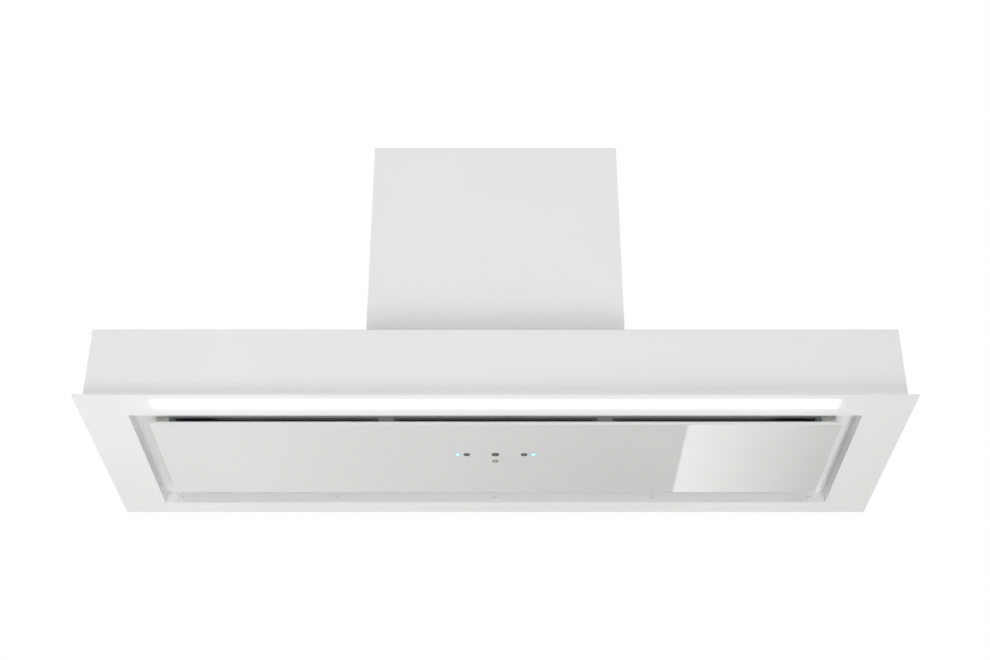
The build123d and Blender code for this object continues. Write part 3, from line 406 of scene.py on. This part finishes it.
def merged_copy(node):
    """A copy of a CAD node's mesh, with its triangles merged into whole faces."""
    source = frame["nodes"][node]
    piece = bpy.data.objects.new(node + "_piece", source.data.copy())
    bpy.context.scene.collection.objects.link(piece)
    choose(piece)
    bpy.ops.object.mode_set(mode="EDIT")
    bpy.ops.mesh.customdata_custom_splitnormals_clear()
    bpy.ops.mesh.select_all(action="SELECT")
    bpy.ops.mesh.remove_doubles(threshold=MERGE_DISTANCE)
    bpy.ops.mesh.dissolve_limited(angle_limit=FLAT_ANGLE)
    # A face round a hole can fold over it once its edges are rounded, so it is cut up first
    bpy.ops.mesh.select_all(action="DESELECT")
    bpy.ops.mesh.select_face_by_sides(number=4, type="GREATER")
    bpy.ops.mesh.quads_convert_to_tris(quad_method="BEAUTY", ngon_method="BEAUTY")
    bpy.ops.object.mode_set(mode="OBJECT")
    return piece


def dress(node, edge, corner=0):
    """Stands a copy of a CAD node in for it, its edges rounded by edge mm.

    Its four outer corners are rounded first, by corner mm, where that is given.
    """
    piece = merged_copy(node)
    low, high = box_of([v.co for v in piece.data.vertices])
    reach = Vector((CORNER_REACH, CORNER_REACH, 0))
    foot, top = Vector((0, 0, low.z / MM)), Vector((0, 0, high.z / MM))
    outer_corners = ((0, 0), (0, 1), (1, 0), (1, 1)) if corner else ()
    for right, rear in outer_corners:
        place = Vector(((low, high)[right].x, (low, high)[rear].y, 0)) / MM
        choose(piece)
        bpy.ops.object.mode_set(mode="EDIT")
        bpy.ops.mesh.select_mode(type="EDGE")
        bpy.ops.mesh.select_all(action="DESELECT")
        select_edges(place - reach + foot, place + reach + top)
        bpy.ops.mesh.bevel(offset=corner * MM, segments=4, affect="EDGES", clamp_overlap=False)
        bpy.ops.object.mode_set(mode="OBJECT")
    round_edges(piece, edge)
    return finish_piece(piece, node + "_finished", node)


def islands(node):
    """The vertices of each loose solid of a CAD node, as lists of points."""
    mesh = bmesh.new()
    mesh.from_mesh(frame["nodes"][node].data)
    bmesh.ops.remove_doubles(mesh, verts=mesh.verts, dist=MERGE_DISTANCE)
    left = set(mesh.verts)
    found = []
    while left:
        start = left.pop()
        queue = [start]
        points = []
        while queue:
            vertex = queue.pop()
            points.append(vertex.co.copy())
            for edge in vertex.link_edges:
                other = edge.other_vert(vertex)
                if other in left:
                    left.remove(other)
                    queue.append(other)
        found.append(points)
    mesh.free()
    found.sort(key=lambda points: tuple(round(c, 4) for c in sum(points, Vector()) / len(points)))
    return found


# Screws: pan heads with a cross recess, one modelled and copied to every place

SCREW_HEAD = 3.0
SCREW_HEAD_HEIGHT = 1.4
SCREW_SHANK = 1.75
SCREW_LENGTH = 7.0
# Each step up the head: its share of the head's height, and its width against the one below
HEAD_STEPS = ((0.10, 1.02), (0.45, 0.97), (0.25, 0.84), (0.14, 0.66), (0.05, 0.5))
HEAD_SIDES = 24
SHANK_SIDES = 10
RECESS_LENGTH = 3.1
RECESS_WIDTH = 0.75
RECESS_DEPTH = 0.8
RECESS_TAPER = 0.45
# Each screw stops this many degrees further round than the one before it
SCREW_TURN = 47
# Points this near to a screw's end, in mm, show how wide that end is
END_REACH = 0.3


def pan_head_screw():
    """A pan head screw on the Z axis, its seat at the origin and its head above."""
    bpy.ops.mesh.primitive_circle_add(
        vertices=HEAD_SIDES, radius=0.98 * SCREW_HEAD * MM, fill_type="NGON"
    )
    screw = bpy.context.object
    bpy.ops.object.mode_set(mode="EDIT")
    for rise, size in HEAD_STEPS:
        bpy.ops.mesh.extrude_region_move(
            TRANSFORM_OT_translate={"value": (0, 0, rise * SCREW_HEAD_HEIGHT * MM)}
        )
        bpy.ops.transform.resize(value=(size, size, 1))
    bpy.ops.object.mode_set(mode="OBJECT")
    bpy.ops.mesh.primitive_cone_add(
        vertices=SHANK_SIDES,
        radius1=0.6 * SCREW_SHANK * MM,
        radius2=SCREW_SHANK * MM,
        depth=SCREW_LENGTH * MM,
        location=(0, 0, -SCREW_LENGTH / 2 * MM),
    )
    shank = bpy.context.object
    # Two arms that narrow downwards cut the cross
    cross = []
    for length, width in ((RECESS_LENGTH, RECESS_WIDTH), (RECESS_WIDTH, RECESS_LENGTH)):
        bpy.ops.mesh.primitive_cube_add(size=1, location=(0, 0, SCREW_HEAD_HEIGHT * MM))
        arm = bpy.context.object
        bpy.ops.object.mode_set(mode="EDIT")
        bpy.ops.transform.resize(value=(length * MM, width * MM, 2 * RECESS_DEPTH * MM))
        mesh = bmesh.from_edit_mesh(arm.data)
        for vertex in mesh.verts:
            vertex.select_set(vertex.co.z < 0)
        mesh.select_flush_mode()
        bpy.ops.transform.resize(value=(RECESS_TAPER, RECESS_TAPER, 1))
        bpy.ops.object.mode_set(mode="OBJECT")
        cross.append(arm)
    for arm in cross:
        cut = screw.modifiers.new("Recess", "BOOLEAN")
        cut.operation = "DIFFERENCE"
        cut.solver = "EXACT"
        cut.object = arm
        apply_all(screw)
    for arm in cross:
        bpy.data.objects.remove(arm)
    choose(screw, shank)
    bpy.ops.object.join()
    bpy.ops.object.transform_apply(location=True, rotation=True, scale=True)
    bpy.ops.object.mode_set(mode="EDIT")
    bpy.ops.mesh.select_all(action="SELECT")
    bpy.ops.mesh.normals_make_consistent(inside=False)
    bpy.ops.object.mode_set(mode="OBJECT")
    bpy.ops.object.shade_smooth_by_angle(angle=SCREW_CREASE)
    return screw


def drive_screws(pattern, node):
    """Copies of the screw at each screw of a CAD node, each turned its own way."""
    copies = []
    for number, points in enumerate(islands(node)):
        low, high = box_of(points)
        size = high - low
        middle = (low + high) / 2
        # The axis is the side that differs most from the other two, with the head at its wide end
        along = max(range(3), key=lambda i: abs(size[i] - (sum(size) - size[i]) / 2))
        across = [i for i in range(3) if i != along]
        radii = [
            max(Vector([p[i] - middle[i] for i in across]).length
                for p in points if abs(p[along] - end) < END_REACH * MM)
            for end in (low[along], high[along])
        ]
        outward = Vector((0, 0, 0))
        outward[along] = 1 if radii[1] > radii[0] else -1
        seat = middle.copy()
        seat[along] = (high if outward[along] > 0 else low)[along]
        seat -= outward * SCREW_HEAD_HEIGHT * MM
        turn = Matrix.Rotation(math.radians(number * SCREW_TURN % 90), 4, "Z")
        place = Matrix.Translation(seat) @ outward.to_track_quat("Z", "Y").to_matrix().to_4x4()
        copies.append(placed_copy(pattern, place @ turn))
    return join_pieces(copies, node + "_heads", node)


screw_pattern = pan_head_screw()
for screw_node in ("well_screws", "casing_screws", "motor_screws"):
    drive_screws(screw_pattern, screw_node)
bpy.data.objects.remove(screw_pattern)

# Sheet metal and mouldings: how far each piece's edges are rounded, in mm
sheet_edges = {
    "body_shell": 0.2,
    "motor_box_shell": 0.2,
    "flange_frame": 0.25,
    "body_side_left": 0.3,
    "body_side_right": 0.3,
    "motor_box_side_left": 0.3,
    "motor_box_side_right": 0.3,
    "well_floor": 0.2,
    "glass_panel": 0.15,
    "panel_backing": 0.2,
    "hinge_brackets": 0.15,
    "hinge_leaves": 0.15,
    "hinge_pins": 0.3,
    "catch_magnets": 0.4,
    "catch_strikes": 0.15,
    "light_channel": 0.2,
    "light_board": 0.15,
    "light_diffuser": 0.2,
    "light_points": 0.2,
    "filter_frame_left": 0.2,
    "filter_frame_centre": 0.2,
    "filter_frame_right": 0.2,
    "filter_latch_left": 0.4,
    "filter_latch_centre": 0.4,
    "filter_latch_right": 0.4,
    "module_housing": 0.3,
    "module_cover": 0.4,
    "outlet_collar": 0.4,
    "flap_front": 0.2,
    "flap_rear": 0.2,
    "flap_spindle": 0.2,
    "outlet_adapter": 0.0,
    "scroll_left": 0.0,
    "scroll_right": 0.0,
    "impeller": 0.0,
    "fan_motor": 0.6,
    "motor_shaft": 0.3,
    "motor_spider": 0.2,
    "motor_bushes": 0.3,
    "blower_hangers": 0.2,
    "electronics_box": 0.5,
    "electronics_lid": 0.2,
    "run_capacitor": 0.4,
    "capacitor_clip": 0.15,
    "fixing_rail_front": 0.15,
    "fixing_rail_rear": 0.15,
    "fixing_rail_left": 0.15,
    "fixing_rail_right": 0.15,
}
rounded_corners = {"glass_panel": 1.2, "flange_frame": 0.6}
for node_name, node_edge in sheet_edges.items():
    dress(node_name, node_edge, corner=rounded_corners.get(node_name, 0))

# Windows in the glass: a lipped bezel in each drilled hole, with a domed lens in its middle


def turned_piece(outline, sides, place=(0, 0, 0)):
    """A round piece: an outline of radii and heights in mm, turned about an upright axis."""
    bpy.ops.mesh.primitive_circle_add(vertices=len(outline), radius=1, fill_type="NOTHING")
    piece = bpy.context.object
    for vertex, (radius, height) in zip(piece.data.vertices, outline):
        vertex.co = (radius * MM, 0, height * MM)
    bpy.ops.object.mode_set(mode="EDIT")
    bpy.ops.mesh.select_all(action="SELECT")
    bpy.ops.mesh.spin(steps=sides, angle=2 * math.pi, center=(0, 0, 0), axis=(0, 0, 1))
    bpy.ops.mesh.select_all(action="SELECT")
    bpy.ops.mesh.remove_doubles(threshold=2 * MERGE_DISTANCE)
    bpy.ops.mesh.dissolve_degenerate(threshold=MERGE_DISTANCE)
    bpy.ops.mesh.normals_make_consistent(inside=False)
    bpy.ops.object.mode_set(mode="OBJECT")
    piece.data.transform(Matrix.Translation(place))
    bpy.ops.object.shade_smooth_by_angle(angle=TURNED_CREASE)
    return piece


# In mm: the level of the glass's underside, and how far a bezel laps over it and stands proud
GLASS_UNDERSIDE = -0.1
BEZEL_LIP = 0.45
BEZEL_RISE = 0.2


def fit_windows(node, bezel_finish, lens_share):
    """A lipped bezel and a domed lens, modelled once and copied to each of a node's drilled holes.

    The lens fills lens_share of the bezel.
    """
    holes = [box_of(points) for points in islands(node)]
    low, high = holes[0]
    hole = (high.x - low.x) / 2 / MM
    rim = hole + BEZEL_LIP
    inner = lens_share * rim
    back = high.z / MM
    under, face = GLASS_UNDERSIDE, GLASS_UNDERSIDE - BEZEL_RISE
    bezel = turned_piece([
        (inner, back), (hole, back), (hole, under), (rim, under), (rim, face + 0.08),
        (rim - 0.1, face), (inner + 0.25, face), (inner, face + 0.3),
    ], ROUND_SIDES)
    lens = turned_piece([
        (0, back - 0.2), (inner, back - 0.2), (inner, face + 0.2), (0.86 * inner, face + 0.1),
        (0.6 * inner, face + 0.02), (0, face),
    ], ROUND_SIDES)
    for pattern, ending, finish in ((bezel, "_bezels", bezel_finish), (lens, "_lenses", None)):
        copies = [placed_copy(pattern, Matrix.Translation(box_centre(*box))) for box in holes]
        bpy.data.objects.remove(pattern)
        join_pieces(copies, node + ending, node, finish=finish)


# The eye bezels' near black is partly black plastic and partly painted shade of the drilled hole
# round each lens.
eye_bezel = moulded_plastic("eye_bezel_abs_and_hole_shade", "#232322", 0.4, 0.5, 0.004)
fit_windows("status_lights", clear_lens("frosted_cyan_ring", "#5EC8D6"), 0.7)
fit_windows("side_eyes", eye_bezel, 0.5)
fit_windows("main_eye", eye_bezel, 0.5)
fit_windows("pale_window", moulded_plastic("grey_bezel_abs", "#787974", 0.4, 0.5, 0.004), 0.55)


# Grease filters: expanded aluminium in pleats that run along X

# The real mesh is finer: these strands and diamonds are the finest that show here
STRAND = 0.62
DIAMOND_LENGTH = 6.0
PLEAT = 11.0


def expanded_mesh(size):
    """A filter's mesh, its foot at the origin: a grid made into diamonds, folded and given bulk."""
    pleats = round(size.y / (PLEAT * MM))
    columns = round(size.x / (DIAMOND_LENGTH * MM))
    bpy.ops.mesh.primitive_grid_add(x_subdivisions=columns, y_subdivisions=4 * pleats, size=1)
    piece = bpy.context.object
    bpy.ops.object.mode_set(mode="EDIT")
    bpy.ops.transform.resize(value=(size.x, size.y, 1))
    # Each cell gets a cross from corner to corner, and the grid's own lines inside the border go
    bpy.ops.mesh.poke()
    mesh = bmesh.from_edit_mesh(piece.data)
    straight = 0.01 * MM
    for edge in mesh.edges:
        way = edge.verts[1].co - edge.verts[0].co
        edge.select_set(min(abs(way.x), abs(way.y)) < straight and not edge.is_boundary)
    mesh.select_flush_mode()
    bmesh.update_edit_mesh(piece.data)
    bpy.ops.mesh.select_mode(type="EDGE")
    bpy.ops.mesh.dissolve_edges(use_verts=False)
    bpy.ops.object.mode_set(mode="OBJECT")
    half_pleat = size.y / (2 * pleats)
    rise = size.z - 2 * STRAND * MM
    for vertex in piece.data.vertices:
        along = (vertex.co.y + size.y / 2) / half_pleat
        vertex.co.z = rise * abs((along + 1) % 2 - 1)
    piece.data.transform(Matrix.Translation((0, 0, STRAND * MM)))
    wires = piece.modifiers.new("Strands", "WIREFRAME")
    wires.thickness = STRAND * MM
    wires.use_replace = True
    wires.use_even_offset = False
    wires.use_boundary = True
    apply_all(piece)
    return piece


def fit_filter_meshes(*nodes):
    """A filter's mesh, modelled once and copied into each filter."""
    boxes = [node_box(node) for node in nodes]
    low, high = boxes[0]
    pattern = expanded_mesh(high - low)
    for node, (low, high) in zip(nodes, boxes):
        place = Matrix.Translation(box_centre(low, high, low.z))
        finish_piece(placed_copy(pattern, place), node + "_strands", node)
    bpy.data.objects.remove(pattern)


fit_filter_meshes("filter_mesh_left", "filter_mesh_centre", "filter_mesh_right")


# Cable gland: a hexagon base, a ribbed cap with a domed top, and its rubber seal

GLAND_HEIGHT = 15
HEXAGON = 6
RIBS = 18
# How far out the cap's ribs start, in mm, and the share of that radius that they are deep
RIB_FOOT = 9.1
RIB_DEPTH = 0.07


def fit_gland():
    """The gland's hexagon, thread and cap, and the seal in its mouth."""
    node = "cable_gland"
    low, high = node_box(node)
    centre = box_centre(low, high)
    foot, top = low.z / MM, high.z / MM
    seat = top - GLAND_HEIGHT
    base = turned_piece([(5.6, seat), (11.3, seat), (11.9, seat + 0.6), (11.9, seat + 5.4),
                         (11.3, seat + 6), (5.6, seat + 6)], HEXAGON, centre)
    thread = turned_piece([(5.6, foot), (7.4, foot), (7.9, foot + 0.5), (7.9, seat + 0.2),
                           (5.6, seat + 0.2)], ROUND_SIDES, centre)
    cap = turned_piece([(5.3, seat + 5.8), (9.2, seat + 6), (9.9, seat + 6.7), (9.9, top - 4.2),
                        (9.3, top - 2.6), (8.2, top - 1.3), (6.8, top - 0.4), (5.8, top),
                        (5.3, top - 0.4)], 2 * RIBS, centre)
    for vertex in cap.data.vertices:
        way = (vertex.co - centre).xy
        turn = round(math.atan2(way.y, way.x) / (math.pi / RIBS))
        if way.length > RIB_FOOT * MM and turn % 2:
            vertex.co.x -= way.x * RIB_DEPTH
            vertex.co.y -= way.y * RIB_DEPTH
    seal = turned_piece([(4.1, seat + 4), (5.35, seat + 4), (5.35, top - 0.7), (4.9, top - 0.3),
                         (4.4, top - 0.4), (4.1, top - 0.8)], ROUND_SIDES, centre)
    join_pieces([base, thread, cap], "cable_gland_body", node)
    join_pieces([seal], "cable_gland_seal", node, "black_rubber")


fit_gland()

# The CAD nodes under these pieces carry the same finishes
for node_name, cad_piece in frame["nodes"].items():
    cad_piece.data.materials.clear()
    cad_piece.data.materials.append(finishes[slot_of[node_name]])


# Stage, light and camera

FLOOR_LEVEL = -2.0
FLOOR_SIZE = 14
FLOOR_GLOW = 0.6
WORLD_FILL = 0.22
CARD_LEVEL = -1.2


def seen_rays(tree):
    """1 for what is seen, also mirrored or through glass, 0 for light that falls on the hood."""
    path = add_node(tree, "ShaderNodeLightPath").outputs
    seen = path["Is Camera Ray"]
    for way in ("Is Glossy Ray", "Is Transmission Ray"):
        seen = add_node(
            tree, "ShaderNodeMath", {0: seen, 1: path[way]}, operation="MAXIMUM"
        ).outputs[0]
    return seen


def clear_from_below(tree, above):
    """Gives a stage piece its shader where it is seen from above, and makes it clear from below."""
    below = add_node(tree, "ShaderNodeNewGeometry").outputs["Backfacing"]
    clear = add_node(tree, "ShaderNodeBsdfTransparent")
    sided = add_node(tree, "ShaderNodeMixShader", {0: below, 1: above, 2: clear.outputs[0]})
    tree.links.new(sided.outputs[0], tree.nodes["Material Output"].inputs["Surface"])


def white_world():
    """A white surround: plain white to the eye and to reflections, a weak fill as light."""
    world = bpy.data.worlds.new("studio")
    bpy.context.scene.world = world
    world.use_nodes = True
    tree = world.node_tree
    tree.nodes.clear()
    white = linear("#FFFFFF")
    lighting = add_node(tree, "ShaderNodeBackground", {"Color": white, "Strength": WORLD_FILL})
    backdrop = add_node(tree, "ShaderNodeBackground", {"Color": white, "Strength": 1.0})
    mix = add_node(
        tree,
        "ShaderNodeMixShader",
        {0: seen_rays(tree), 1: lighting.outputs[0], 2: backdrop.outputs[0]},
    )
    add_node(tree, "ShaderNodeOutputWorld", {"Surface": mix.outputs[0]})


def pale_floor():
    """The studio's floor, well below the hanging hood, and clear when seen from underneath."""
    bpy.ops.mesh.primitive_plane_add(size=FLOOR_SIZE, location=(0, 0, FLOOR_LEVEL))
    floor = bpy.context.object
    floor.name = "studio_floor"
    finish, tree, shader = start_finish("matt_floor", "#F3F3F2", 0.9)
    work_in(tree, shader, mottle(tree, 400), tones=(linear("#F4F4F3"), linear("#F0F0EF")))
    # Part of its paleness is its own, so that it stays pale in little light and keeps its shadow
    share = add_node(
        tree, "ShaderNodeMath", {0: seen_rays(tree), 1: FLOOR_GLOW}, operation="MULTIPLY"
    )
    glow = add_node(tree, "ShaderNodeEmission", {"Color": linear("#F6F6F5"), "Strength": 1.0})
    both = add_node(
        tree,
        "ShaderNodeMixShader",
        {0: share.outputs[0], 1: shader.outputs[0], 2: glow.outputs[0]},
    )
    clear_from_below(tree, both.outputs[0])
    floor.data.materials.append(finish)


def stage_card(name, low, high, level):
    """A level card from low to high in X and Y, in metres, that no camera sees."""
    bpy.ops.mesh.primitive_plane_add(size=1)
    card = bpy.context.object
    card.name = name
    size = Matrix.Diagonal((high[0] - low[0], high[1] - low[1], 1, 1))
    middle = ((low[0] + high[0]) / 2, (low[1] + high[1]) / 2, level)
    card.data.transform(Matrix.Translation(middle) @ size)
    card.visible_camera = False
    return card


def light_card(name, low, high, strength, full_at, none_at):
    """A card seen only in reflections: full strength at X = full_at, fading to none at none_at."""
    card = stage_card(name, low, high, CARD_LEVEL)
    finish = bpy.data.materials.new(name)
    finish.use_nodes = True
    tree = finish.node_tree
    tree.nodes.clear()
    place = add_node(tree, "ShaderNodeTexCoord").outputs["Object"]
    across = add_node(tree, "ShaderNodeSeparateXYZ", {"Vector": place}).outputs["X"]
    fade = add_node(
        tree,
        "ShaderNodeMapRange",
        {
            "Value": across,
            "From Min": full_at,
            "From Max": none_at,
            "To Min": strength,
            "To Max": 0,
        },
    ).outputs["Result"]
    glow = add_node(tree, "ShaderNodeEmission", {"Color": linear("#FFFFFF"), "Strength": fade})
    clear = add_node(tree, "ShaderNodeBsdfTransparent")
    both = add_node(tree, "ShaderNodeAddShader", {0: glow.outputs[0], 1: clear.outputs[0]})
    add_node(tree, "ShaderNodeOutputMaterial", {"Surface": both.outputs[0]})
    card.data.materials.append(finish)
    card.visible_diffuse = False
    card.visible_shadow = False


def black_flag(name, low, high, level):
    """A card, black from above and clear from below, that stops the bounce of what is under it."""
    card = stage_card(name, low, high, level)
    velvet, tree, shader = start_finish("black_velvet", "#050505", 1.0)
    clear_from_below(tree, shader.outputs[0])
    card.data.materials.append(velvet)
    card.visible_glossy = False


def soft_light(name, size, power, place, aim, beam, mirrored):
    """An area light turned to its aim, its beam in degrees, mirrored by shiny surfaces or not."""
    lamp = bpy.data.lights.new(name, "AREA")
    lamp.shape = "RECTANGLE"
    lamp.size, lamp.size_y = size
    lamp.energy = power
    lamp.spread = math.radians(beam)
    holder = bpy.data.objects.new(name, lamp)
    bpy.context.scene.collection.objects.link(holder)
    holder.location = place
    holder.rotation_euler = (Vector(aim) - Vector(place)).to_track_quat("-Z", "Y").to_euler()
    holder.visible_camera = False
    holder.visible_glossy = mirrored


# Name, size, watts, place, aim, width of its beam in degrees, and whether it is mirrored
lamps = (
    ("high_front", (2.0, 1.2), 27, (0, -2.3, 1.6), (0, 0, 0.2), 180, False),
    ("low_front", (2.0, 1.0), 17, (0, -2.8, -0.8), (0, 0, 0.1), 180, False),
    ("under", (2.0, 1.4), 4, (0, 0.3, -1.9), (0, 0, 0), 150, False),
    ("steep_right", (0.8, 0.8), 8.4, (0.9, -0.7, -1.9), (0, 0, 0), 115, False),
    ("close_left", (0.4, 0.4), 2.2, (-0.75, -0.55, -0.7), (-0.3, 0, 0), 180, False),
    # What the lit diffuser gives to the flange beside it, and what the well's white walls give
    ("glow_strip", (0.735, 0.014), 0.03, (0, -0.13, -0.0075), (0, -0.13, 0.1), 180, False),
    ("well_fill", (0.62, 0.1), 0.018, (0, -0.02, 0.0075), (0, -0.02, 0.1), 180, True),
    ("high_rear", (2.0, 1.2), 7, (0, 2.2, 1.6), (0, 0, 0.2), 70, False),
    ("side_left", (1.0, 1.0), 2.4, (-2.8, 0.2, 0.7), (0, 0, 0.2), 60, False),
    ("side_right", (1.0, 1.0), 2.4, (2.8, 0.2, 0.7), (0, 0, 0.2), 60, False),
)

white_world()
pale_floor()
# The ledge before the motor box would light the box's foot, which the photograph shows dark
black_flag("motor_box_flag", (-0.143, -0.145), (0.143, -0.1322), 0.0854)
for lamp in lamps:
    soft_light(*lamp)
# What the glass mirrors: a soft box in its right part, and a pale wall that fades to the right
light_card("soft_box", (0.53, 1.6), (1.0, 3.6), 2.0, 0.55, 0.93)
light_card("pale_wall", (-2.2, 1.4), (0.4, 3.8), 1.25, -0.76, 0.36)

# The photograph's view: from below and in front, level from side to side
LENS = 57.63
SENSOR_WIDTH = 36
CAMERA_PLACE = (-0.0005, -1.6297, -0.7999)
CAMERA_TILT = 120.71

camera = bpy.data.objects.new("camera", bpy.data.cameras.new("camera"))
bpy.context.scene.collection.objects.link(camera)
camera.data.sensor_width = SENSOR_WIDTH
camera.data.lens = LENS
camera.location = CAMERA_PLACE
camera.rotation_euler = (math.radians(CAMERA_TILT), 0, 0)
bpy.context.scene.camera = camera
bpy.context.scene.view_settings.view_transform = "Standard"

bpy.context.view_layer.update()
